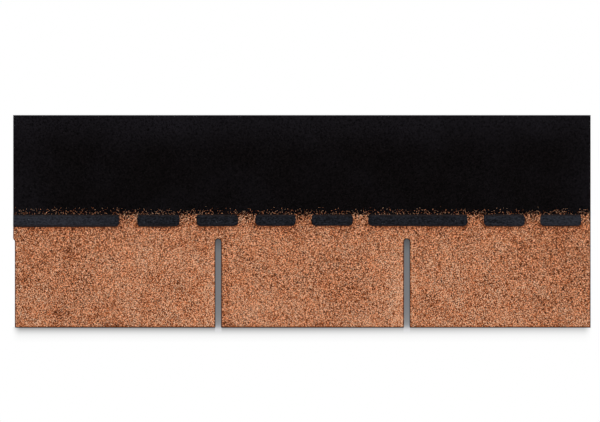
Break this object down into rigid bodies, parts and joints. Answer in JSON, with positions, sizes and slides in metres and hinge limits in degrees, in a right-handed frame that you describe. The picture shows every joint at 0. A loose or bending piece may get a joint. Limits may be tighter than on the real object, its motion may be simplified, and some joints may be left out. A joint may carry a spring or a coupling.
{
  "type": "three-tab asphalt shingle",
  "caption": "Asphalt strip shingle with a black headlap, copper-brown granule tabs parted by narrow cutouts, and a dashed self-sealing adhesive line.",
  "frame": {"origin": "centre of the strip's outline, on its underside", "axes": "+X along the strip, +Y from the butt edge of the tabs to the top edge of the headlap, +Z out of the weather face"},
  "size_m": [0.9144, 0.3366, 0.0041],
  "materials": {
    "asphalt": "matt black asphalt dusted with fine mineral",
    "granules": "rough copper-brown ceramic-coated mineral granules",
    "film": "thin smooth translucent plastic film",
    "sealant": "smooth satin black adhesive"
  },
  "bodies": {
    "root": {"asphalt_sheet": "asphalt", "granule_coat": "granules", "release_film": "film", "sealant_dash_1": "sealant", "sealant_dash_2": "sealant", "sealant_dash_3": "sealant", "sealant_dash_4": "sealant", "sealant_dash_5": "sealant", "sealant_dash_6": "sealant", "sealant_dash_7": "sealant", "sealant_dash_8": "sealant"}
  },
  "joints": []
}
